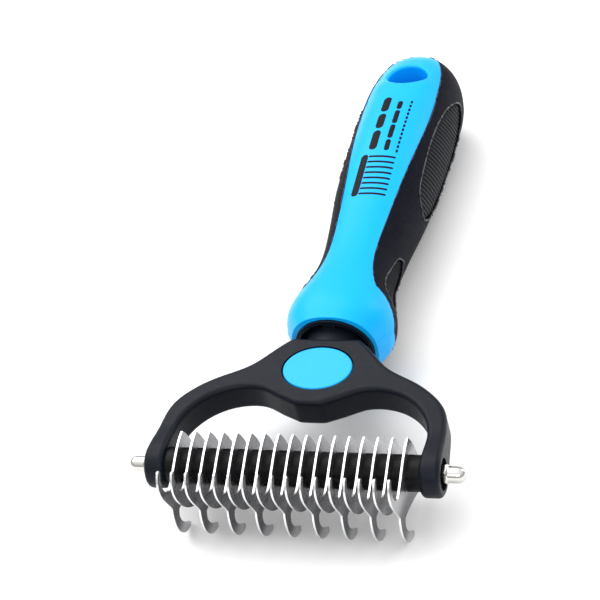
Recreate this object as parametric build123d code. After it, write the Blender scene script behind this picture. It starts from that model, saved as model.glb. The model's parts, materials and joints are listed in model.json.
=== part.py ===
from build123d import *
import math
import os

# Two-sided undercoat rake. Millimetres.
# Every piece is drawn in the head's own axes: X along the axle, Y towards the handle, Z up, zero at the
# middle of the blade pack, just under the axle. At the end the whole tool is tipped to the pose in which it lies on a table, on its
# hooks and the underside of the handle, with the origin on the table under the middle of the tool.

# Longer than anything it cuts through
AMPLE = 60.0

# Blade pack
BLADE_COUNT = 17
BLADE_PITCH = 4.236
BLADE_THICKNESS = 0.6
AXLE_Z = 0.8
AXLE_PLANE = Plane(origin=(0, 0, AXLE_Z), x_dir=(0, 1, 0), z_dir=(1, 0, 0))
AXLE_RADIUS = 1.5
AXLE_HOLE_RADIUS = 1.6
AXLE_END_GAP = 0.4
ROD_CHAMFER = 0.3
SPACER_RADIUS = 5.3
SPACER_LENGTH = BLADE_PITCH - BLADE_THICKNESS
PACK_HALF = (BLADE_COUNT - 1) / 2 * BLADE_PITCH + BLADE_THICKNESS / 2
HOOK_TIP = (-9.4, -15.9)

# Yoke
YOKE_TOP_Z = 6.1
YOKE_BOTTOM_Z = -3.7
YOKE_EDGE_FILLET = 1.5
YOKE_BACK_Y = 47.5
BOSS_INNER_X = 38.1
BOSS_OUTER_X = 44.2
BOSS_RADIUS = 6.9
BOSS_BLEND_Y = 12.0
NUT_SEAT_X = 42.8
NUT_POCKET_RADIUS = 4.7
NUT_POCKET_DEPTH = 5.0
HUB_Y = 35.1
NECK_Z = -3.2
NECK_RADIUS = 9.2
NECK_END_Y = 60.0

# Badge
BADGE_HALF_WIDTH = 10.6
BADGE_HALF_LENGTH = 8.4
BADGE_THICKNESS = 1.8
BADGE_GROOVE = 0.5
BADGE_EDGE_FILLET = 0.4

# Domed nuts
NUT_ACROSS_FLATS = 5.5
NUT_HEX_LENGTH = 2.9
NUT_DOME_RADIUS = 2.45
NUT_LENGTH = 7.95
NUT_BORE_DEPTH = 5.6
NUT_BORE_SLIP = 0.05
NUT_ROUND_RADIUS = 3.0
NUT_CHAMFER = 0.6

# Tang and its cross pin
TANG_WIDTH = 13.0
TANG_HEIGHT = 9.0
TANG_END_Y = 102.0
TANG_EDGE_FILLET = 1.5
TANG_ROOT = 2.0
PIN_Y = 70.0
PIN_RADIUS = 1.5
PIN_LENGTH = 24.0
SLIP = 0.1

# Collar
MOUTH_Y = 52.0
MOUTH_RADIUS = 12.4
COLLAR_FRONT_Y = 51.2
COLLAR_WINDOW_DEPTH = 3.4
COLLAR_LENGTH = 6.6
COLLAR_RING = 1.3
COLLAR_RIB_WIDTH = 3.4

# Handle: stations (y, half width, top z, bottom z), then a rounded end
HANDLE_STATIONS = [
    (52.0, 13.4, 10.2, -16.6),
    (56.0, 15.7, 10.9, -17.7),
    (62.0, 16.9, 10.9, -18.2),
    (69.0, 15.6, 10.0, -18.3),
    (77.0, 13.2, 8.8, -18.5),
    (87.0, 12.2, 7.8, -19.2),
    (100.0, 13.1, 7.2, -20.6),
    (116.0, 14.8, 7.3, -23.2),
    (134.0, 15.7, 7.9, -27.0),
    (150.0, 16.0, 7.4, -29.6),
    (160.0, 16.0, 6.6, -30.6),
    (168.0, 15.9, 5.6, -31.0),
]
BODY_STATIONS = 22
HANDLE_END_Y = 192.2
END_STATIONS = 9
END_TOP_SLOPE = 0.285
END_WIDTH_SQUARENESS = 3.0
END_HEIGHT_SQUARENESS = 6.0
END_SWEEP = math.radians(88.2)
SECTION_SQUARENESS = 2.3
SECTION_POINTS = 20

# Blue top strip: half width at stations along the handle
STRIP_STATIONS = [
    (66.0, 13.0), (70.0, 10.8), (75.0, 9.0), (84.0, 7.6), (98.0, 7.9),
    (115.0, 9.0), (135.0, 10.8), (152.0, 11.8), (167.0, 11.5), (178.0, 10.2), (186.0, 7.7),
]
STRIP_TIP_Y = 196.0
STRIP_DEPTH_Z = -3.0
RUBBER_THICKNESS = 2.8
RUBBER_START = (60.0, -3.6)
RUBBER_SHOULDER = (78.0, 16.0)

# Hanging hole
HANG_Y = 173.0
HANG_RADIUS = 6.6
HANG_LIP = 0.9
HANG_LINING = 1.8
HANG_MIDDLE_Z = -15.0

# Side panels, sunk into the rubber: outlines in the YZ plane
PANEL_DEPTH = 0.9
LEAF_OUTLINE = [
    (115.4, -6.5), (118.0, -2.0), (126.0, 0.1), (144.0, 0.3), (158.0, -1.8), (168.0, -5.6),
    (175.0, -12.5), (168.0, -19.5), (150.0, -21.5), (130.0, -18.5), (119.5, -13.0),
]
DIMPLE_OUTLINE = [
    (67.6, -0.8), (71.0, 2.8), (77.0, 2.2), (86.0, -1.2), (91.5, -3.6),
    (93.6, -7.2), (90.5, -10.4), (83.0, -9.6), (74.0, -6.6),
]


def blade_name(index):
    return f"blade_{index + 1:02d}"


def blade_x(index):
    return (index - (BLADE_COUNT - 1) / 2) * BLADE_PITCH


def blade(index):
    """Flat plate with an upper claw; every second one, from the first, also has the long lower hook."""
    has_hook = index % 2 == 0
    claw_root = (-13.0, 5.0) if has_hook else (-11.4, 5.5)
    claw_inner = (-14.8, 14.5)
    claw_top = (-16.3, 15.7)
    rear_top = (5.6, 9.5)
    rear_bottom = (7.8, -12.6)
    body_front = (-11.7, -5.0) if has_hook else (-10.2, -5.0)
    with BuildSketch(Plane.YZ) as outline:
        with BuildLine():
            Spline(claw_root, (-6.8, 6.9), (-0.5, 9.0), rear_top)
            ThreePointArc(rear_top, (9.2, -1.8), rear_bottom)
            Spline(rear_bottom, (2.4, -10.3), (-4.2, -7.3), body_front)
            if has_hook:
                hook_inner = (-8.3, -14.4)
                waist = (-15.3, -0.9)
                Spline(body_front, (-12.9, -7.4), (-11.4, -11.0), hook_inner)
                ThreePointArc(hook_inner, (-8.0, -15.5), HOOK_TIP)
                Spline(HOOK_TIP, (-12.9, -14.0), (-15.6, -10.3), (-16.4, -5.2), waist)
                Spline(waist, (-17.7, 5.2), (-18.9, 11.2), claw_top)
            else:
                Spline(body_front, (-15.3, 0.4), (-17.7, 5.0), (-18.9, 11.2), claw_top)
            ThreePointArc(claw_top, (-15.1, 15.6), claw_inner)
            ThreePointArc(claw_inner, (-16.6, 10.6), claw_root)
        make_face()
        with Locations((0, AXLE_Z)):
            Circle(AXLE_HOLE_RADIUS, mode=Mode.SUBTRACT)
    plate = extrude(outline.sketch, BLADE_THICKNESS / 2, both=True)
    return Pos(blade_x(index), 0, 0) * plate


def tube(x_low, x_high, outer, inner):
    """Tube on the axle between two places."""
    ring = AXLE_PLANE.offset(x_low) * (Circle(outer) - Circle(inner))
    return extrude(ring, x_high - x_low)


def spacer(index):
    start = blade_x(index) + BLADE_THICKNESS / 2
    return tube(start, start + SPACER_LENGTH, SPACER_RADIUS, AXLE_HOLE_RADIUS)


def end_spacer():
    return tube(PACK_HALF, BOSS_INNER_X, SPACER_RADIUS, AXLE_HOLE_RADIUS)


def axle_rod():
    half = NUT_SEAT_X + NUT_BORE_DEPTH - AXLE_END_GAP
    rod = extrude(AXLE_PLANE * Circle(AXLE_RADIUS), half, both=True)
    return chamfer(rod.edges().filter_by(GeomType.CIRCLE), ROD_CHAMFER)


def cap_nut():
    """Domed nut on the right end: hexagon, short neck and a dome over a blind bore."""
    seat = AXLE_PLANE.offset(NUT_SEAT_X)
    hexagon = extrude(seat * RegularPolygon(NUT_ACROSS_FLATS / 2, 6, major_radius=False), NUT_HEX_LENGTH)
    hex_cone = extrude(seat * Circle(NUT_ROUND_RADIUS), NUT_HEX_LENGTH)
    hex_cone = chamfer(hex_cone.edges().sort_by(Axis.X)[-1], NUT_CHAMFER)
    barrel_end = NUT_SEAT_X + NUT_LENGTH - NUT_DOME_RADIUS
    barrel = extrude(seat * Circle(NUT_DOME_RADIUS), barrel_end - NUT_SEAT_X)
    dome = Pos(barrel_end, 0, AXLE_Z) * Sphere(NUT_DOME_RADIUS)
    bore = extrude(seat * Circle(AXLE_RADIUS + NUT_BORE_SLIP), NUT_BORE_DEPTH)
    return (hexagon & hex_cone) + barrel + dome - bore


def bow_plan():
    """Right half of the bow seen from above: boss at the arm's end, arm, and half of the oval hub."""
    boss_front = -BOSS_RADIUS - 1
    hub_front = (0, 21.0)
    arm_inner = (BOSS_INNER_X, 7)
    arm_outer = (BOSS_OUTER_X, 0)
    hub_back = (10.5, YOKE_BACK_Y)
    with BuildSketch() as plan:
        with BuildLine():
            Line((BOSS_INNER_X, boss_front), arm_inner)
            Spline(arm_inner, (36.2, 16.4), (30.4, 23.4), (22, 26.9), (15, 26.5), (10.5, 24.2), (5, 21.6),
                   hub_front, tangents=((0, 1), (-1, 0)))
            Polyline(hub_front, (0, YOKE_BACK_Y), hub_back)
            Spline(hub_back, (15.5, 42.5), (21, 36.6), (30, 31.3), (37.6, 25.5), (41.6, 20), (43.2, 13),
                   (43.9, 5), arm_outer)
            Polyline(arm_outer, (BOSS_OUTER_X, boss_front), (BOSS_INNER_X, boss_front))
        make_face()
    return plan.sketch


def bow_side():
    """The bow seen from the side: level plate that swells into a round boss on the axle."""
    boss_top = (0, AXLE_Z + BOSS_RADIUS)
    boss_bottom = (0, AXLE_Z - BOSS_RADIUS)
    plate_top = (BOSS_BLEND_Y, YOKE_TOP_Z)
    plate_bottom = (BOSS_BLEND_Y, YOKE_BOTTOM_Z)
    with BuildSketch(Plane.YZ) as side:
        with BuildLine():
            ThreePointArc(boss_bottom, (-BOSS_RADIUS, AXLE_Z), boss_top)
            Spline(boss_top, plate_top, tangents=((1, 0), (1, 0)))
            Polyline(plate_top, (YOKE_BACK_Y, YOKE_TOP_Z), (YOKE_BACK_Y, YOKE_BOTTOM_Z), plate_bottom)
            Spline(plate_bottom, boss_bottom, tangents=((-1, 0), (-1, 0)))
        make_face()
    return side.sketch


def bow():
    """Plan and side view cut through each other, with every outer edge rounded."""
    half_plan = bow_plan()
    plan = half_plan + half_plan.mirror(Plane.YZ)
    plate = extrude(plan, AMPLE, both=True) & extrude(bow_side(), AMPLE, both=True)
    upright = plate.edges().filter_by(Axis.Z)
    across = [edge for edge in plate.edges().filter_by(Axis.X) if edge.center().Y < HUB_Y]
    rims = [edge for edge in plate.edges() if edge not in upright and edge not in across]
    return fillet(rims, YOKE_EDGE_FILLET)


def badge_plug(margin):
    """Oval block under the hub's top face, wider all round than the badge by margin."""
    oval = Ellipse(BADGE_HALF_WIDTH + margin, BADGE_HALF_LENGTH + margin)
    return Pos(0, HUB_Y, YOKE_TOP_Z - BADGE_THICKNESS) * extrude(oval, BADGE_THICKNESS)


def yoke_frame():
    pocket = extrude(AXLE_PLANE.offset(NUT_SEAT_X) * Circle(NUT_POCKET_RADIUS), NUT_POCKET_DEPTH)
    bore = extrude(AXLE_PLANE.offset(BOSS_INNER_X - 1) * Circle(AXLE_HOLE_RADIUS), NUT_SEAT_X - BOSS_INNER_X + 2)
    neck = round_bar(HUB_Y, NECK_END_Y, NECK_RADIUS)
    nose = Pos(0, HUB_Y, NECK_Z) * Sphere(NECK_RADIUS)
    tang_middle = (NECK_END_Y + TANG_END_Y) / 2
    tang = Pos(0, tang_middle, NECK_Z) * Box(TANG_WIDTH, TANG_END_Y - NECK_END_Y + TANG_ROOT, TANG_HEIGHT)
    tang = fillet(tang.edges().filter_by(Axis.Y), TANG_EDGE_FILLET)
    frame = bow() + neck + nose + tang - badge_plug(BADGE_GROOVE)
    frame -= pocket + pocket.mirror(Plane.YZ) + bore + bore.mirror(Plane.YZ)
    return frame - cross_hole(AXLE_RADIUS + SLIP)


def cross_hole(radius):
    """Hole along X for the pin that locks the tang."""
    return extrude(Plane.YZ * (Pos(PIN_Y, NECK_Z) * Circle(radius)), PIN_LENGTH / 2 + SLIP, both=True)


def tang_pin():
    pin = extrude(Plane.YZ * (Pos(PIN_Y, NECK_Z) * Circle(PIN_RADIUS)), PIN_LENGTH / 2, both=True)
    return chamfer(pin.edges().filter_by(GeomType.CIRCLE), ROD_CHAMFER)


def badge_disc():
    disc = badge_plug(0)
    return fillet(disc.edges().sort_by(Axis.Z)[-1], BADGE_EDGE_FILLET)


def round_bar(y_low, y_high, radius):
    """Solid cylinder along Y on the neck's axis."""
    face = Plane.XZ.offset(-y_low) * (Pos(0, NECK_Z) * Circle(radius))
    return extrude(face, -(y_high - y_low))


def neck_collar():
    """Ring in the handle's mouth, with four windows in its front between four ribs."""
    back_y = COLLAR_FRONT_Y + COLLAR_LENGTH
    floor_y = COLLAR_FRONT_Y + COLLAR_WINDOW_DEPTH
    ring = round_bar(COLLAR_FRONT_Y, back_y, MOUTH_RADIUS - SLIP)
    windows = round_bar(COLLAR_FRONT_Y, floor_y, MOUTH_RADIUS - COLLAR_RING)
    rib = Pos(0, (COLLAR_FRONT_Y + floor_y) / 2, NECK_Z) * Box(
        COLLAR_RIB_WIDTH, COLLAR_WINDOW_DEPTH, 2 * MOUTH_RADIUS)
    rib_across = Pos(0, (COLLAR_FRONT_Y + floor_y) / 2, NECK_Z) * Box(
        2 * MOUTH_RADIUS, COLLAR_WINDOW_DEPTH, COLLAR_RIB_WIDTH)
    windows -= rib + rib_across
    return ring - windows - round_bar(COLLAR_FRONT_Y, back_y, NECK_RADIUS + SLIP)


def section(y, half_width, top, bottom):
    """Closed smooth outline across the handle: a slightly squared ellipse."""
    half_height = (top - bottom) / 2
    points = []
    for step in range(SECTION_POINTS):
        angle = 2 * math.pi * step / SECTION_POINTS
        c = math.cos(angle)
        s = math.sin(angle)
        reach = (abs(c) ** SECTION_SQUARENESS + abs(s) ** SECTION_SQUARENESS) ** (-1 / SECTION_SQUARENESS)
        points.append((half_width * reach * c, y, (top + bottom) / 2 + half_height * reach * s))
    return Face(Wire([Edge.make_spline([Vector(p) for p in points], periodic=True)]))


def sizes_at(y):
    """Half width, top z and bottom z at a distance y, on smooth curves through HANDLE_STATIONS."""
    index = 0
    while index < len(HANDLE_STATIONS) - 2 and HANDLE_STATIONS[index + 1][0] <= y:
        index += 1
    before = HANDLE_STATIONS[max(index - 1, 0)]
    start, end = HANDLE_STATIONS[index:index + 2]
    after = HANDLE_STATIONS[min(index + 2, len(HANDLE_STATIONS) - 1)]
    span = end[0] - start[0]
    t = (y - start[0]) / span
    sizes = []
    for column in (1, 2, 3):
        slope_in = (end[column] - before[column]) / (end[0] - before[0]) * span
        slope_out = (after[column] - start[column]) / (after[0] - start[0]) * span
        change = end[column] - start[column]
        bend = slope_in + slope_out - 2 * change
        sizes.append(start[column] + t * slope_in + t * t * (change - slope_in - bend) + t ** 3 * bend)
    return sizes


def rounding(along, squareness):
    """How much of its full size a rounded end keeps at a fraction of the way to its tip."""
    return (1 - along ** squareness) ** (1 / squareness)


def handle_body(inset):
    """The handle's outer shape, or the same shape drawn in by inset all round."""
    last_y, last_width, last_top, last_bottom = HANDLE_STATIONS[-1]
    sections = []
    for step in range(BODY_STATIONS + 1):
        y = MOUTH_Y + (last_y - MOUTH_Y) * step / BODY_STATIONS
        half_width, top, bottom = sizes_at(y)
        sections.append(section(y, half_width - inset, top - inset, bottom + inset))
    reach = HANDLE_END_Y - inset - last_y
    for step in range(1, END_STATIONS + 1):
        along = math.sin(END_SWEEP * step / END_STATIONS)
        y = last_y + reach * along
        top = last_top - END_TOP_SLOPE * (y - last_y)
        middle = (top + last_bottom) / 2
        half_width = (last_width - inset) * rounding(along, END_WIDTH_SQUARENESS)
        half_height = ((top - last_bottom) / 2 - inset) * rounding(along, END_HEIGHT_SQUARENESS)
        sections.append(section(y, half_width, middle + half_height, middle - half_height))
    return Solid.make_loft([face.outer_wire() for face in sections])


def strip_prism():
    """Everything above STRIP_DEPTH_Z inside the blue top strip's outline."""
    with BuildSketch() as plan:
        with BuildLine():
            Spline(*[(w, y) for y, w in STRIP_STATIONS], (0, STRIP_TIP_Y))
            Line((0, STRIP_TIP_Y), (0, STRIP_STATIONS[0][0]))
            Line((0, STRIP_STATIONS[0][0]), (STRIP_STATIONS[0][1], STRIP_STATIONS[0][0]))
        make_face()
        mirror(about=Plane.YZ)
    return Pos(0, 0, STRIP_DEPTH_Z) * extrude(plan.sketch, AMPLE)


def flare_block():
    """The all-blue flared mouth, behind which the rubber starts."""
    start_y, start_z = RUBBER_START
    shoulder_y, shoulder_z = RUBBER_SHOULDER
    with BuildSketch(Plane.YZ) as outline:
        with BuildLine():
            Polyline((0, shoulder_z), (0, -AMPLE), (start_y, -AMPLE), (start_y, start_z), (shoulder_y, shoulder_z),
                     close=True)
        make_face()
    return extrude(outline.sketch, AMPLE, both=True)


def panel(outline):
    """Slab through the whole handle with a side panel's smooth closed outline."""
    with BuildSketch(Plane.YZ) as shape:
        with BuildLine():
            Spline(*outline, periodic=True)
        make_face()
    return extrude(shape.sketch, AMPLE, both=True)


def hanging_hole(body):
    """The handle's body with its hanging hole, rounded where it breaks through above and below."""
    drilled = body - Pos(0, HANG_Y, HANG_MIDDLE_Z) * Cylinder(HANG_RADIUS, AMPLE)
    for lowest_or_highest in (0, -1):
        wall = drilled.faces().filter_by(GeomType.CYLINDER).sort_by(SortBy.AREA)[-1]
        lips = wall.edges().filter_by(GeomType.LINE, reverse=True).sort_by(Axis.Z)
        drilled = fillet(lips[lowest_or_highest], HANG_LIP)
    return drilled


def handle_parts():
    """Blue core and black rubber, cut from one body so that they meet face to face."""
    body = hanging_hole(handle_body(0))
    inner = handle_body(RUBBER_THICKNESS)
    panel_floor = handle_body(PANEL_DEPTH)
    lining = Pos(0, HANG_Y, HANG_MIDDLE_Z) * Cylinder(HANG_RADIUS + HANG_LINING, AMPLE)
    rubber = body - inner - strip_prism() - flare_block() - lining
    core = body - rubber
    rubber -= panel(LEAF_OUTLINE) - panel_floor
    rubber -= panel(DIMPLE_OUTLINE) - panel_floor
    cavity = round_bar(MOUTH_Y - 1, COLLAR_FRONT_Y + COLLAR_LENGTH + SLIP, MOUTH_RADIUS)
    cavity += round_bar(MOUTH_Y, NECK_END_Y + SLIP, NECK_RADIUS + SLIP)
    tang_middle = (NECK_END_Y + TANG_END_Y) / 2
    cavity += Pos(0, tang_middle, NECK_Z) * Box(
        TANG_WIDTH + 2 * SLIP, TANG_END_Y - NECK_END_Y + TANG_ROOT + 2 * SLIP, TANG_HEIGHT + 2 * SLIP)
    core = core - cavity - cross_hole(PIN_RADIUS + SLIP)
    return core, rubber


def all_parts():
    parts = {
        "yoke_frame": yoke_frame(),
        "badge_disc": badge_disc(),
        "neck_collar": neck_collar(),
        "tang_pin": tang_pin(),
        "axle_rod": axle_rod(),
        "cap_nut_right": cap_nut(),
        "cap_nut_left": cap_nut().mirror(Plane.YZ),
        "end_spacer_right": end_spacer(),
        "end_spacer_left": end_spacer().mirror(Plane.YZ),
    }
    parts["handle_core"], parts["grip_overmould"] = handle_parts()
    for index in range(BLADE_COUNT):
        parts[blade_name(index)] = blade(index)
    for index in range(BLADE_COUNT - 1):
        parts[f"spacer_{index + 1:02d}"] = spacer(index)
    return parts


def lying_pose(parts):
    """Tip the tool onto its hooks and the handle's underside, with the table at zero height."""
    low_y = HANDLE_STATIONS[-1][0]
    low_z = HANDLE_STATIONS[-1][3]
    tip = math.degrees(math.atan2(HOOK_TIP[1] - low_z, low_y - HOOK_TIP[0]))
    tipped = {name: Rot(tip, 0, 0) * shape for name, shape in parts.items()}
    box = Compound(list(tipped.values())).bounding_box()
    shift = Pos(-box.center().X, -box.center().Y, -box.min.Z)
    print("tip", round(tip, 4), "shift", shift)
    return {name: shift * shape for name, shape in tipped.items()}


os.makedirs("parts", exist_ok=True)
for node, shape in lying_pose(all_parts()).items():
    export_step(shape, f"parts/{node}.step")
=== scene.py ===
import json
import math

import bmesh
import bpy
from mathutils import Matrix, Vector
from mathutils.bvhtree import BVHTree


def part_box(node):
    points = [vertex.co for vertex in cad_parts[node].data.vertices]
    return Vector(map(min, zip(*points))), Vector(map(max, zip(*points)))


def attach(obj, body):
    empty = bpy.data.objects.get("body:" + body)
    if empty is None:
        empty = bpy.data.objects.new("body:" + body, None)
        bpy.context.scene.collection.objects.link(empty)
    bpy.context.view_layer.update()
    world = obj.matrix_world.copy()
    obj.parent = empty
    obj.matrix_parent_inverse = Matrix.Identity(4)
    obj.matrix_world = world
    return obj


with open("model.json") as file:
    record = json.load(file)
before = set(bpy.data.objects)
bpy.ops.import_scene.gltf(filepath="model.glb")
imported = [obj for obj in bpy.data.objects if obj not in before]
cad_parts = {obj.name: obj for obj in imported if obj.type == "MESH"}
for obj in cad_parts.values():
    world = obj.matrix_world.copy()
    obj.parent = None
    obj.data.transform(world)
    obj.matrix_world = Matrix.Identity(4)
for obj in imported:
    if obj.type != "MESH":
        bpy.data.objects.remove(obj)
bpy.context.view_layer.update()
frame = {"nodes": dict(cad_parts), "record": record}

MM = 0.001

# The head's own axes, in millimetres: X along the axle, Y towards the handle's end, Z up, zero at the middle
# of the blade pack, just under the axle. The tool lies tipped on its hooks, and the hanging hole's axis
# gives the tip.
AXLE_Z = 0.8
axle_low, axle_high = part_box("axle_rod")
hole_axis = frame["record"]["mounts"][0]["axis"]
TIP = math.atan2(-hole_axis[1], hole_axis[2])
AXLE = Matrix.Translation((axle_low + axle_high) / 2) @ Matrix.Rotation(TIP, 4, "X")
HEAD = AXLE @ Matrix.Scale(MM, 4) @ Matrix.Translation((0, 0, -AXLE_Z))
TO_HEAD = HEAD.inverted()


# ---------------------------------------------------------------- camera, floor and light

# The camera's place and two of its directions, in the head's axes.
CAMERA_PLACE = (201.3, -413.7, 487.1)
CAMERA_RIGHT = (0.9538, 0.2199, -0.2046)
CAMERA_DOWN = (0.0116, -0.7075, -0.7066)
CAMERA_LENS = 139.42
SENSOR_WIDTH = 36.0

# The surface the tool lies on, in metres. It is a hair low, so that nothing lies exactly in it.
FLOOR_SIZE = 6.0
FLOOR_DROP = 0.0002

# The world's strength grows as its direction turns from level to straight up.
SKY_LOW_Z = -0.1
SKY_HIGH_Z = 0.9
SKY_LOW_STRENGTH = 0.2
SKY_HIGH_STRENGTH = 1.35


def make_camera():
    """Long lens, from the front, right and above, as the tool was seen."""
    camera = bpy.data.objects.new("camera", bpy.data.cameras.new("camera"))
    bpy.context.scene.collection.objects.link(camera)
    camera.data.lens = CAMERA_LENS
    camera.data.sensor_width = SENSOR_WIDTH
    camera.data.clip_start = 0.01
    camera.data.clip_end = 20.0
    right = Vector(CAMERA_RIGHT)
    up = -Vector(CAMERA_DOWN)
    turn = HEAD.to_3x3() * (1 / MM)
    axes = Matrix((turn @ right, turn @ up, turn @ right.cross(up))).transposed()
    camera.matrix_world = Matrix.Translation(HEAD @ Vector(CAMERA_PLACE)) @ axes.to_4x4()
    bpy.context.scene.camera = camera


def make_floor():
    """White paper under the tool. It is part of the stage, not of the object."""
    grid = bmesh.new()
    bmesh.ops.create_grid(grid, x_segments=8, y_segments=8, size=FLOOR_SIZE)
    mesh = bpy.data.meshes.new("floor")
    grid.to_mesh(mesh)
    grid.free()
    floor = bpy.data.objects.new("floor", mesh)
    bpy.context.scene.collection.objects.link(floor)
    floor.location.z = -FLOOR_DROP
    floor.data.materials.append(floor_material())


def area_light(name, place, aim, size, watts):
    """A rectangular light at a place, turned towards its aim. Places and sizes are in metres."""
    light = bpy.data.objects.new(name, bpy.data.lights.new(name, "AREA"))
    bpy.context.scene.collection.objects.link(light)
    light.data.shape = "RECTANGLE"
    light.data.size, light.data.size_y = size
    light.data.energy = watts
    light.location = place
    light.rotation_euler = (Vector(aim) - Vector(place)).to_track_quat("-Z", "Y").to_euler()


def make_light():
    """A soft white surround, a large key light from above on the left, and two weaker lights."""
    world = bpy.data.worlds.new("studio")
    bpy.context.scene.world = world
    world.use_nodes = True
    nodes = world.node_tree.nodes
    links = world.node_tree.links
    direction = nodes.new("ShaderNodeTexCoord")
    split = nodes.new("ShaderNodeSeparateXYZ")
    overhead = nodes.new("ShaderNodeMapRange")
    overhead.inputs["From Min"].default_value = SKY_LOW_Z
    overhead.inputs["From Max"].default_value = SKY_HIGH_Z
    overhead.inputs["To Min"].default_value = SKY_LOW_STRENGTH
    overhead.inputs["To Max"].default_value = SKY_HIGH_STRENGTH
    links.new(direction.outputs["Generated"], split.inputs["Vector"])
    links.new(split.outputs["Z"], overhead.inputs["Value"])
    links.new(overhead.outputs["Result"], nodes["Background"].inputs["Strength"])
    nodes["Background"].inputs["Color"].default_value = (1.0, 1.0, 1.0, 1)
    area_light("key", place=(-0.75, 0.35, 1.25), aim=(0, 0, 0), size=(1.6, 1.6), watts=19)
    area_light("front_fill", place=(0.25, -1.3, 0.9), aim=(0, 0, 0), size=(1.2, 0.8), watts=5)
    area_light("rim", place=(0.9, 0.9, 0.5), aim=(0, 0.02, 0.02), size=(0.5, 0.9), watts=3)


# ---------------------------------------------------------------- materials

GREY_LOW = 0.3
GREY_HIGH = 0.7

# Worn edges: the bevel's radius in metres, and the cosines between the bevelled and the true normal at which
# the wear starts and is full.
WEAR_RADIUS = 0.0004
WEAR_START = 0.98
WEAR_FULL = 0.80


def principled(name, color, roughness, metallic=0.0, specular=0.5):
    """A material with a Principled shader, its nodes, its links and the shader node."""
    material = bpy.data.materials.new(name)
    material.use_nodes = True
    nodes = material.node_tree.nodes
    links = material.node_tree.links
    shader = nodes["Principled BSDF"]
    shader.inputs["Base Color"].default_value = (*color, 1)
    shader.inputs["Roughness"].default_value = roughness
    shader.inputs["Metallic"].default_value = metallic
    shader.inputs["Specular IOR Level"].default_value = specular
    return material, nodes, links, shader


def noise(nodes, links, scale, detail=3.0, stretch=(1, 1, 1)):
    """Noise over the object's own place, in features per metre. Returns its grey output."""
    place = nodes.new("ShaderNodeTexCoord")
    mapping = nodes.new("ShaderNodeMapping")
    mapping.inputs["Scale"].default_value = stretch
    texture = nodes.new("ShaderNodeTexNoise")
    texture.inputs["Scale"].default_value = scale
    texture.inputs["Detail"].default_value = detail
    links.new(place.outputs["Object"], mapping.inputs["Vector"])
    links.new(mapping.outputs["Vector"], texture.inputs["Vector"])
    return texture.outputs["Fac"]


def spread(nodes, links, source, low, high):
    """The grey input, which for noise lies mostly between GREY_LOW and GREY_HIGH, spread from low to high."""
    node = nodes.new("ShaderNodeMapRange")
    node.inputs["From Min"].default_value = GREY_LOW
    node.inputs["From Max"].default_value = GREY_HIGH
    node.inputs["To Min"].default_value = low
    node.inputs["To Max"].default_value = high
    links.new(source, node.inputs["Value"])
    return node.outputs["Result"]


def blend_colors(nodes, links, factor, first, second):
    """The color that goes from first to second as the factor goes from 0 to 1."""
    mix = nodes.new("ShaderNodeMix")
    mix.data_type = "RGBA"
    mix.inputs["A"].default_value = (*first, 1)
    mix.inputs["B"].default_value = (*second, 1)
    links.new(factor, mix.inputs["Factor"])
    return mix.outputs["Result"]


def bump(nodes, links, shader, height, distance, strength):
    """Fine relief on the shader's surface, up to distance metres high."""
    node = nodes.new("ShaderNodeBump")
    node.inputs["Distance"].default_value = distance
    node.inputs["Strength"].default_value = strength
    links.new(height, node.inputs["Height"])
    links.new(node.outputs["Normal"], shader.inputs["Normal"])


def worn_edges(nodes, links):
    """0 to 1 towards the surface's sharp edges."""
    bevel_normal = nodes.new("ShaderNodeBevel")
    bevel_normal.inputs["Radius"].default_value = WEAR_RADIUS
    geometry = nodes.new("ShaderNodeNewGeometry")
    dot = nodes.new("ShaderNodeVectorMath")
    dot.operation = "DOT_PRODUCT"
    ramp = nodes.new("ShaderNodeMapRange")
    ramp.inputs["From Min"].default_value = WEAR_START
    ramp.inputs["From Max"].default_value = WEAR_FULL
    links.new(bevel_normal.outputs["Normal"], dot.inputs[0])
    links.new(geometry.outputs["Normal"], dot.inputs[1])
    links.new(dot.outputs["Value"], ramp.inputs["Value"])
    return ramp.outputs["Result"]


def height_band(nodes, links, start, full_from, full_to, end):
    """0 to 1 and back to 0 with height above the surface the tool lies on, in metres."""
    place = nodes.new("ShaderNodeTexCoord")
    split = nodes.new("ShaderNodeSeparateXYZ")
    links.new(place.outputs["Object"], split.inputs["Vector"])
    product = nodes.new("ShaderNodeMath")
    product.operation = "MULTIPLY"
    for slot, (low, high) in enumerate(((start, full_from), (end, full_to))):
        ramp = nodes.new("ShaderNodeMapRange")
        ramp.interpolation_type = "SMOOTHSTEP"
        ramp.inputs["From Min"].default_value = low
        ramp.inputs["From Max"].default_value = high
        links.new(split.outputs["Z"], ramp.inputs["Value"])
        links.new(ramp.outputs["Result"], product.inputs[slot])
    return product.outputs["Value"]


def floor_material():
    """Matte white paper."""
    material, nodes, links, shader = principled("floor_paper", (0.93, 0.93, 0.93), roughness=0.9,
                                                specular=0.1)
    bump(nodes, links, shader, noise(nodes, links, 900), distance=0.0002, strength=0.2)
    return material


def blue_plastic():
    """Bright blue semi-gloss moulding."""
    material, nodes, links, shader = principled("handle_blue", (0.002, 0.40, 0.92), roughness=0.36,
                                                specular=0.16)
    shade = spread(nodes, links, noise(nodes, links, 40), 0.0, 1.0)
    links.new(blend_colors(nodes, links, shade, (0.001, 0.39, 0.91), (0.003, 0.41, 0.93)),
              shader.inputs["Base Color"])
    links.new(spread(nodes, links, noise(nodes, links, 260), 0.30, 0.38), shader.inputs["Roughness"])
    bump(nodes, links, shader, noise(nodes, links, 1700, detail=2), distance=0.00004, strength=0.35)
    return material


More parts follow.
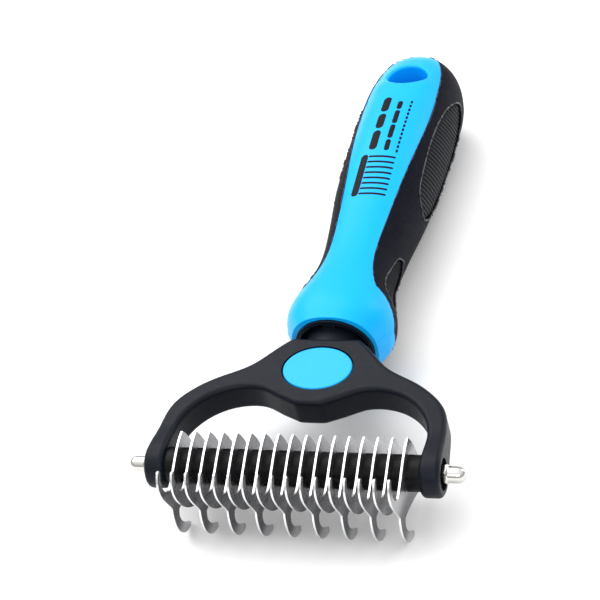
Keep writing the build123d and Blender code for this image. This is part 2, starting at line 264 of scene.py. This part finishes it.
def badge_plastic():
    """Nearly the handle's blue, a little glossier."""
    material, nodes, links, shader = principled("badge_blue", (0.012, 0.40, 0.93), roughness=0.3,
                                                specular=0.2)
    links.new(spread(nodes, links, noise(nodes, links, 400), 0.26, 0.34), shader.inputs["Roughness"])
    bump(nodes, links, shader, noise(nodes, links, 2400, detail=2), distance=0.00002, strength=0.3)
    return material


def black_plastic():
    """Satin black moulding with a fine spark-eroded texture and edges rubbed a little lighter."""
    material, nodes, links, shader = principled("yoke_black", (0.003, 0.005, 0.010), roughness=0.42,
                                                specular=0.16)
    edges = worn_edges(nodes, links)
    links.new(blend_colors(nodes, links, edges, (0.003, 0.005, 0.010), (0.026, 0.032, 0.045)),
              shader.inputs["Base Color"])
    links.new(spread(nodes, links, noise(nodes, links, 700), 0.36, 0.48), shader.inputs["Roughness"])
    bump(nodes, links, shader, noise(nodes, links, 5200, detail=2), distance=0.00003, strength=0.35)
    return material


def spacer_plastic():
    """Black tube. Its gloss varies in short bands round it and its grain runs along it."""
    material, nodes, links, shader = principled("spacer_black", (0.002, 0.002, 0.003), roughness=0.36,
                                                specular=0.14)
    links.new(spread(nodes, links, noise(nodes, links, 500, detail=2, stretch=(4, 1, 1)), 0.30, 0.42),
              shader.inputs["Roughness"])
    grain = noise(nodes, links, 2600, detail=2, stretch=(0.3, 1, 1))
    bump(nodes, links, shader, grain, distance=0.00003, strength=0.3)
    return material


def rubber():
    """Soft black overmould with a fine matte grain."""
    material, nodes, links, shader = principled("grip_rubber", (0.003, 0.004, 0.009), roughness=0.6,
                                                specular=0.06)
    shade = spread(nodes, links, noise(nodes, links, 120), 0.0, 1.0)
    links.new(blend_colors(nodes, links, shade, (0.0024, 0.0032, 0.0075), (0.0042, 0.0050, 0.0110)),
              shader.inputs["Base Color"])
    links.new(spread(nodes, links, noise(nodes, links, 900), 0.56, 0.68), shader.inputs["Roughness"])
    bump(nodes, links, shader, noise(nodes, links, 6500, detail=2), distance=0.00004, strength=0.45)
    return material


def rib_rubber_painted_highlight():
    """The rubber's ribs and knobs, a little lighter than the rest of it: a painted highlight on the same
    rubber.
    """
    material, nodes, links, shader = principled("rib_rubber_painted_highlight", (0.022, 0.024, 0.027), roughness=0.5,
                                                specular=0.12)
    links.new(spread(nodes, links, noise(nodes, links, 1100), 0.42, 0.58), shader.inputs["Roughness"])
    bump(nodes, links, shader, noise(nodes, links, 7000, detail=2), distance=0.00003, strength=0.4)
    return material


def rim_rubber():
    """The rounded rims, a little lighter than the rest of the rubber."""
    material, nodes, links, shader = principled("rim_rubber", (0.030, 0.032, 0.036), roughness=0.42)
    links.new(spread(nodes, links, noise(nodes, links, 1100), 0.36, 0.50), shader.inputs["Roughness"])
    bump(nodes, links, shader, noise(nodes, links, 5000, detail=2), distance=0.00002, strength=0.3)
    return material


def parting_groove_shade():
    """Painted shade: the dark navy line that stands in for the shaded groove where the blue meets the black.
    """
    material, nodes, links, shader = principled("parting_groove_shade_navy", (0.001, 0.010, 0.045), roughness=0.5)
    links.new(spread(nodes, links, noise(nodes, links, 800), 0.4, 0.6), shader.inputs["Roughness"])
    bump(nodes, links, shader, noise(nodes, links, 4000, detail=2), distance=0.00001, strength=0.3)
    return material


def print_ink():
    """Pad-printed ink, slightly uneven."""
    material, nodes, links, shader = principled("print_ink", (0.004, 0.003, 0.004), roughness=0.5,
                                                specular=0.12)
    links.new(spread(nodes, links, noise(nodes, links, 1500), 0.38, 0.52), shader.inputs["Roughness"])
    bump(nodes, links, shader, noise(nodes, links, 5000, detail=2), distance=0.00001, strength=0.3)
    return material


def blade_steel():
    """Stainless strip: brushed faces, with painted shade between the spacers and the hooks, and a painted
    highlight on the cut edges.
    """
    material, nodes, links, shader = principled("blade_steel", (0.45, 0.45, 0.46), roughness=0.3,
                                                metallic=1.0)
    along_x = nodes.new("ShaderNodeMath")
    along_x.operation = "ABSOLUTE"
    geometry = nodes.new("ShaderNodeNewGeometry")
    split = nodes.new("ShaderNodeSeparateXYZ")
    links.new(geometry.outputs["Normal"], split.inputs["Vector"])
    links.new(split.outputs["X"], along_x.inputs[0])
    brushed = noise(nodes, links, 900, detail=4, stretch=(0.2, 0.25, 3.0))
    face = blend_colors(nodes, links, spread(nodes, links, brushed, 0.0, 1.0),
                        (0.42, 0.42, 0.43), (0.54, 0.54, 0.55))
    # Painted shade: faces between the spacers and the hooks are darkened by height, standing in for the dark
    # they reflect there.
    painted_shade = nodes.new("ShaderNodeMix")
    painted_shade.data_type = "RGBA"
    painted_shade.inputs["B"].default_value = (0.10, 0.10, 0.11, 1)
    links.new(face, painted_shade.inputs["A"])
    painted_shade_band = height_band(nodes, links, start=0.003, full_from=0.008, full_to=0.013, end=0.020)
    links.new(painted_shade_band, painted_shade.inputs["Factor"])
    # Painted highlight: faces whose normals lie across the axle, the cut edges, get a brighter steel colour.
    painted_edge_highlight = nodes.new("ShaderNodeMix")
    painted_edge_highlight.data_type = "RGBA"
    painted_edge_highlight.inputs["A"].default_value = (0.74, 0.74, 0.75, 1)
    links.new(painted_shade.outputs["Result"], painted_edge_highlight.inputs["B"])
    links.new(along_x.outputs["Value"], painted_edge_highlight.inputs["Factor"])
    links.new(painted_edge_highlight.outputs["Result"], shader.inputs["Base Color"])
    links.new(spread(nodes, links, brushed, 0.24, 0.36), shader.inputs["Roughness"])
    bump(nodes, links, shader, brushed, distance=0.00001, strength=0.3)
    return material


def bright_nickel():
    """Bright plating with soft irregularities in its gloss."""
    material, nodes, links, shader = principled("nut_bright", (0.62, 0.61, 0.58), roughness=0.12,
                                                metallic=1.0)
    links.new(spread(nodes, links, noise(nodes, links, 900), 0.08, 0.18), shader.inputs["Roughness"])
    bump(nodes, links, shader, noise(nodes, links, 1500, detail=2), distance=0.00001, strength=0.25)
    return material


def plain_steel():
    """The rod's steel. The rod is hidden in the pack."""
    material, nodes, links, shader = principled("axle_steel", (0.55, 0.55, 0.56), roughness=0.3,
                                                metallic=1.0)
    links.new(spread(nodes, links, noise(nodes, links, 900, detail=3, stretch=(6, 1, 1)), 0.22, 0.38),
              shader.inputs["Roughness"])
    return material


MATERIALS = {
    "handle_blue": blue_plastic(),
    "badge_blue": badge_plastic(),
    "yoke_black": black_plastic(),
    "grip_rubber": rubber(),
    "spacer_black": spacer_plastic(),
    "blade_steel": blade_steel(),
    "nut_bright": bright_nickel(),
    "axle_steel": plain_steel(),
}


def dress_cad_nodes():
    """Each CAD node gets the material that its record entry names."""
    for part in frame["record"]["subparts"]:
        mesh = frame["nodes"][part["node"]].data
        for place in range(len(mesh.materials)):
            mesh.materials[place] = MATERIALS[part["material_slot"]]


# ---------------------------------------------------------------- the CAD surface, in the head's axes

MERGE_DISTANCE = 0.003

# Farther out than any of the handle's surfaces.
FAR_OUT = 60.0

# An edge of the rubber is followed when it is bent by more than SHARP_ANGLE radians and a ray that starts
# PROBE outside it meets nothing. A line of SHORT_LINE points or fewer is left out.
SHARP_ANGLE = 0.5
PROBE = 0.05
SHORT_LINE = 12


def head_mesh(node):
    """A CAD node's triangles in the head's axes, with doubled corners merged."""
    mesh = bmesh.new()
    mesh.from_mesh(frame["nodes"][node].data)
    mesh.transform(TO_HEAD)
    bmesh.ops.remove_doubles(mesh, verts=mesh.verts, dist=MERGE_DISTANCE)
    mesh.normal_update()
    mesh.verts.ensure_lookup_table()
    mesh.verts.index_update()
    return mesh


def surface_tree(*names):
    """The surfaces of the named CAD nodes, in the head's axes, for casting rays at."""
    vertices = []
    polygons = []
    for name in names:
        data = frame["nodes"][name].data
        start = len(vertices)
        vertices += [TO_HEAD @ v.co for v in data.vertices]
        polygons += [[start + i for i in p.vertices] for p in data.polygons]
    return BVHTree.FromPolygons(vertices, polygons)


HANDLE_SKIN = surface_tree("handle_core", "grip_overmould")


def drop(x, y):
    """Point on the handle's top and the way it faces there."""
    point, normal, _, _ = HANDLE_SKIN.ray_cast(Vector((x, y, FAR_OUT)), Vector((0, 0, -1)))
    return point, normal


def from_side(side, y, z):
    """Point on the handle's left (-1) or right (1) and the way it faces there."""
    point, normal, _, _ = HANDLE_SKIN.ray_cast(Vector((side * FAR_OUT, y, z)), Vector((-side, 0, 0)))
    return point, normal


def outer_loops():
    """Closed lines of points along the rubber's sharp outer edges."""
    mesh = head_mesh("grip_overmould")
    neighbours = {}
    for edge in mesh.edges:
        if len(edge.link_faces) != 2 or not edge.is_convex or edge.calc_face_angle() < SHARP_ANGLE:
            continue
        outward = (edge.link_faces[0].normal + edge.link_faces[1].normal).normalized()
        middle = (edge.verts[0].co + edge.verts[1].co) / 2
        if HANDLE_SKIN.ray_cast(middle + outward * PROBE, outward)[0] is not None:
            continue
        for first, second in (edge.verts, reversed(edge.verts)):
            neighbours.setdefault(first.index, []).append(second.index)
    places = {i: mesh.verts[i].co.copy() for i in neighbours}
    mesh.free()
    loops = []
    left = set(neighbours)
    while left:
        here = min(left)
        left.discard(here)
        line = [here]
        while True:
            ways = [n for n in neighbours[here] if n in left]
            if not ways:
                break
            here = ways[0]
            left.discard(here)
            line.append(here)
        if len(line) > SHORT_LINE:
            loops.append([places[i] for i in line])
    return loops


def spaced(points, step, closed):
    """The same line with its points about step apart."""
    line = points + points[:1] if closed else points
    result = []
    carry = 0.0
    for start, end in zip(line, line[1:]):
        length = (end - start).length
        while carry < length:
            result.append(start.lerp(end, carry / length))
            carry += step
        carry -= length
    return result


# ---------------------------------------------------------------- pieces added to the visual model

# A bead's rings have BEAD_SIDES corners, and those at its open ends BEAD_END_SHARE of its radius.
BEAD_SIDES = 7
BEAD_END_SHARE = 0.4


def add_piece(name, mesh, material):
    """A mesh drawn in the head's axes becomes a piece that moves with the tool."""
    bmesh.ops.recalc_face_normals(mesh, faces=mesh.faces)
    mesh.transform(HEAD)
    data = bpy.data.meshes.new(name)
    mesh.to_mesh(data)
    mesh.free()
    for face in data.polygons:
        face.use_smooth = True
    data.materials.append(material)
    piece = bpy.data.objects.new(name, data)
    bpy.context.scene.collection.objects.link(piece)
    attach(piece, "root")


def sweep(mesh, path, radius, closed):
    """Round bead along a path of (point, way the surface faces) pairs, tapered at open ends."""
    rings = []
    count = len(path)
    for i, (point, normal) in enumerate(path):
        before = path[i - 1][0] if closed or i > 0 else point
        after = path[(i + 1) % count][0] if closed or i < count - 1 else point
        along = (after - before).normalized()
        across = along.cross(normal).normalized()
        up = across.cross(along)
        is_end = not closed and i in (0, count - 1)
        size = radius * (BEAD_END_SHARE if is_end else 1.0)
        ring = []
        for k in range(BEAD_SIDES):
            angle = 2 * math.pi * k / BEAD_SIDES
            outward = across * math.cos(angle) + up * math.sin(angle)
            ring.append(mesh.verts.new(point + outward * size))
        rings.append(ring)
    pairs = list(zip(rings, rings[1:]))
    if closed:
        pairs.append((rings[-1], rings[0]))
    for first, second in pairs:
        for k in range(BEAD_SIDES):
            following = (k + 1) % BEAD_SIDES
            mesh.faces.new((first[k], first[following], second[following], second[k]))
    if not closed:
        mesh.faces.new(rings[0])
        mesh.faces.new(reversed(rings[-1]))


def inside(outline, y, z):
    """Whether a place in the side view lies within a closed outline."""
    crossings = 0
    for first, second in zip(outline, outline[1:] + outline[:1]):
        if (first.z > z) != (second.z > z):
            if y < first.y + (z - first.z) * (second.y - first.y) / (second.z - first.z):
                crossings += 1
    return crossings % 2 == 1


def well_inside(outline, y, z, margin):
    """Whether the four places a margin away from a place all lie within a closed outline."""
    around = ((margin, 0), (-margin, 0), (0, margin), (0, -margin))
    return all(inside(outline, y + dy, z + dz) for dy, dz in around)


# Each rib moves back by RIB_LEAN times its fall and RIB_BEND times the square of its fall. Ribs and knobs
# keep their margins from the edge of the panel.
RIB_PITCH = 1.7
RIB_RADIUS = 0.38
RIB_LEAN = 0.30
RIB_BEND = 0.012
RIB_STEP = 0.6
RIB_MARGIN = 0.75
RIB_MIN_POINTS = 3
KNOB_PITCH = 1.15
KNOB_RADIUS = 0.36
KNOB_MARGIN = 0.8

# Beads along the rubber's edges: how far apart their rings are, their radii, and how deep their middles lie.
BEAD_STEP = 0.9
PARTING_RADIUS = 0.22
PARTING_DEPTH = 0.16
LEAF_RIM_RADIUS = 0.36
DIMPLE_RIM_RADIUS = 0.32
RIM_DEPTH = 0.2

# The leaf-shaped recesses lie behind PANELS_SPLIT_Y and the thumb dimples in front of it. Edges wholly below
# UNDERSIDE_Z are on the underside and get no bead.
PANELS_SPLIT_Y = 100
UNDERSIDE_Z = -20.0

# The seam on the side of the flared mouth, as (y, z) places from its front edge back to the rubber.
SEAM_PLACES = ((52.7, -1.1), (53.4, -0.9), (55.4, -1.3), (58.9, -2.7), (60.4, -3.7))
SEAM_STEP = 0.6
SEAM_RADIUS = 0.2


def rib_panel(name, side, outline):
    """Slanted, slightly bowed ribs standing on the floor of the leaf-shaped recess."""
    mesh = bmesh.new()
    top = max(p.z for p in outline)
    bottom = min(p.z for p in outline)
    first_y = min(p.y for p in outline) - (top - bottom)
    rows = int((top - bottom) / RIB_STEP)
    for rib in range(int((max(p.y for p in outline) - first_y) / RIB_PITCH)):
        run = []
        for row in range(rows + 1):
            fall = row * RIB_STEP
            y = first_y + rib * RIB_PITCH + RIB_LEAN * fall + RIB_BEND * fall * fall
            if well_inside(outline, y, top - fall, RIB_MARGIN):
                run.append(from_side(side, y, top - fall))
        if len(run) >= RIB_MIN_POINTS:
            sweep(mesh, run, RIB_RADIUS, closed=False)
    add_piece(name, mesh, RIB_RUBBER_PAINTED_HIGHLIGHT)


def knob_panel(name, side, outline):
    """Staggered rows of small round knobs on the floor of the thumb dimple."""
    mesh = bmesh.new()
    low_y = min(p.y for p in outline)
    low_z = min(p.z for p in outline)
    row_gap = KNOB_PITCH * math.sqrt(3) / 2
    for row in range(int((max(p.z for p in outline) - low_z) / row_gap) + 1):
        for place in range(int((max(p.y for p in outline) - low_y) / KNOB_PITCH) + 1):
            y = low_y + (place + 0.5 * (row % 2)) * KNOB_PITCH
            z = low_z + row * row_gap
            if not well_inside(outline, y, z, KNOB_MARGIN):
                continue
            point, normal = from_side(side, y, z)
            turned = Matrix.Translation(point) @ normal.to_track_quat("Z", "Y").to_matrix().to_4x4()
            bmesh.ops.create_uvsphere(mesh, u_segments=8, v_segments=5, radius=KNOB_RADIUS, matrix=turned)
    add_piece(name, mesh, RIB_RUBBER_PAINTED_HIGHLIGHT)


def edge_bead(name, outline, radius, depth, material):
    """Bead along a closed line on the handle, with its middle sunk below the surface by depth."""
    path = []
    for point in spaced(outline, BEAD_STEP, closed=True):
        _, normal, _, _ = HANDLE_SKIN.find_nearest(point)
        path.append((point - normal * depth, normal))
    mesh = bmesh.new()
    sweep(mesh, path, radius, closed=True)
    add_piece(name, mesh, material)


def edge_details():
    """Ribs, knobs and beads, placed by the sharp edges of the rubber."""
    for number, outline in enumerate(outer_loops()):
        xs = [p.x for p in outline]
        ys = [p.y for p in outline]
        if max(p.z for p in outline) < UNDERSIDE_Z:
            continue
        if min(xs) < 0 < max(xs):
            # The bead along the blue's edge carries painted shade of the groove there.
            edge_bead(f"parting_bead_{number}", outline, PARTING_RADIUS, PARTING_DEPTH, PARTING_GROOVE_SHADE)
            continue
        side = 1 if xs[0] > 0 else -1
        side_name = "right" if side > 0 else "left"
        if min(ys) > PANELS_SPLIT_Y:
            rib_panel(f"rib_panel_{side_name}", side, outline)
            edge_bead(f"leaf_rim_{side_name}", outline, LEAF_RIM_RADIUS, RIM_DEPTH, RIM_RUBBER)
        elif max(ys) < PANELS_SPLIT_Y:
            knob_panel(f"knob_panel_{side_name}", side, outline)
            edge_bead(f"dimple_rim_{side_name}", outline, DIMPLE_RIM_RADIUS, RIM_DEPTH, RIM_RUBBER)


def flare_seams():
    """Raised seam on each side of the flared mouth, from its front edge back to the rubber."""
    line = spaced([Vector((0, y, z)) for y, z in SEAM_PLACES], SEAM_STEP, closed=False)
    for side, side_name in ((1, "right"), (-1, "left")):
        mesh = bmesh.new()
        sweep(mesh, [from_side(side, p.y, p.z) for p in line], SEAM_RADIUS, closed=False)
        add_piece(f"flare_seam_{side_name}", mesh, MATERIALS["handle_blue"])


# ---------------------------------------------------------------- generic print on the blue top

# A bar's middle stands PRINT_LIFT above the surface and its border lies as much below. Its rows are about
# PRINT_STEP apart, with a few more for the round ends, and its tips keep a little width. PRINT_SHARES says
# where each row has its corners, as shares of its half width.
PRINT_LIFT = 0.03
PRINT_STEP = 0.6
PRINT_EXTRA_ROWS = 6
PRINT_TIP_HALF_WIDTH = 0.02
PRINT_SHARES = (-1, -0.8, 0, 0.8, 1)

# The comb: its back runs along the handle and its teeth point to the right.
COMB_BACK_X = -4.4
COMB_BACK_START_Y = 110.5
COMB_BACK_END_Y = 127.0
COMB_BACK_HALF_WIDTH = 1.35
COMB_TEETH = 8
COMB_FIRST_TOOTH_Y = 110.2
COMB_TOOTH_PITCH = 2.44
COMB_TOOTH_START_X = -2.6
COMB_TOOTH_END_X = 5.4
COMB_TOOTH_HALF_WIDTH = 0.5

# The dashes, each with the Y of its start and end, and the row of dots.
BROAD_DASHES = ((132.0, 138.5), (142.6, 147.2), (151.3, 156.2))
BROAD_DASH_X = -2.6
BROAD_DASH_HALF_WIDTH = 1.5
THIN_DASHES = ((131.0, 134.5), (137.0, 142.0), (144.5, 149.5), (152.0, 154.5))
THIN_DASH_X = 2.1
THIN_DASH_HALF_WIDTH = 0.95
DOTS = 13
DOT_X = 5.6
DOT_FIRST_Y = 130.0
DOT_PITCH = 2.1
DOT_LENGTH = 0.7
DOT_HALF_WIDTH = 0.42


def print_bar(mesh, start, end, half_width):
    """Flat bar with round ends laid on the handle's top, its border just under the surface."""
    start = Vector(start)
    along = (Vector(end) - start).normalized()
    length = (Vector(end) - start).length
    across = Vector((-along.y, along.x))
    steps = math.ceil((length + 2 * half_width) / PRINT_STEP) + PRINT_EXTRA_ROWS
    rows = []
    for step in range(steps + 1):
        s = (1 - math.cos(math.pi * step / steps)) / 2 * (length + 2 * half_width) - half_width
        overshoot = max(-s, s - length, 0)
        width = math.sqrt(max(half_width ** 2 - overshoot ** 2, PRINT_TIP_HALF_WIDTH ** 2))
        row = []
        for share in PRINT_SHARES:
            is_border = abs(share) == 1 or step in (0, steps)
            place = start + along * s + across * width * share
            point, normal = drop(place.x, place.y)
            row.append(mesh.verts.new(point + normal * (-PRINT_LIFT if is_border else PRINT_LIFT)))
        rows.append(row)
    for first, second in zip(rows, rows[1:]):
        for k in range(len(PRINT_SHARES) - 1):
            mesh.faces.new((first[k], first[k + 1], second[k + 1], second[k]))


def comb_print():
    """Pictogram of a comb: a thick back with a row of teeth."""
    mesh = bmesh.new()
    print_bar(mesh, (COMB_BACK_X, COMB_BACK_START_Y), (COMB_BACK_X, COMB_BACK_END_Y), COMB_BACK_HALF_WIDTH)
    for tooth in range(COMB_TEETH):
        y = COMB_FIRST_TOOTH_Y + tooth * COMB_TOOTH_PITCH
        print_bar(mesh, (COMB_TOOTH_START_X, y), (COMB_TOOTH_END_X, y), COMB_TOOTH_HALF_WIDTH)
    add_piece("comb_print", mesh, PRINT_INK)


def dash_print():
    """Three rows of dashes and dots that run along the handle."""
    mesh = bmesh.new()
    for start_y, end_y in BROAD_DASHES:
        print_bar(mesh, (BROAD_DASH_X, start_y), (BROAD_DASH_X, end_y), BROAD_DASH_HALF_WIDTH)
    for start_y, end_y in THIN_DASHES:
        print_bar(mesh, (THIN_DASH_X, start_y), (THIN_DASH_X, end_y), THIN_DASH_HALF_WIDTH)
    for dot in range(DOTS):
        y = DOT_FIRST_Y + dot * DOT_PITCH
        print_bar(mesh, (DOT_X, y), (DOT_X, y + DOT_LENGTH), DOT_HALF_WIDTH)
    add_piece("dash_print", mesh, PRINT_INK)


# The ribs and knobs take a lighter copy of the rubber, a painted highlight.
RIB_RUBBER_PAINTED_HIGHLIGHT = rib_rubber_painted_highlight()
RIM_RUBBER = rim_rubber()
# The parting bead's dark navy is painted shade of the groove where the blue meets the black.
PARTING_GROOVE_SHADE = parting_groove_shade()
PRINT_INK = print_ink()

make_camera()
make_floor()
make_light()
dress_cad_nodes()
edge_details()
flare_seams()
comb_print()
dash_print()
bpy.context.scene.view_settings.view_transform = "Standard"
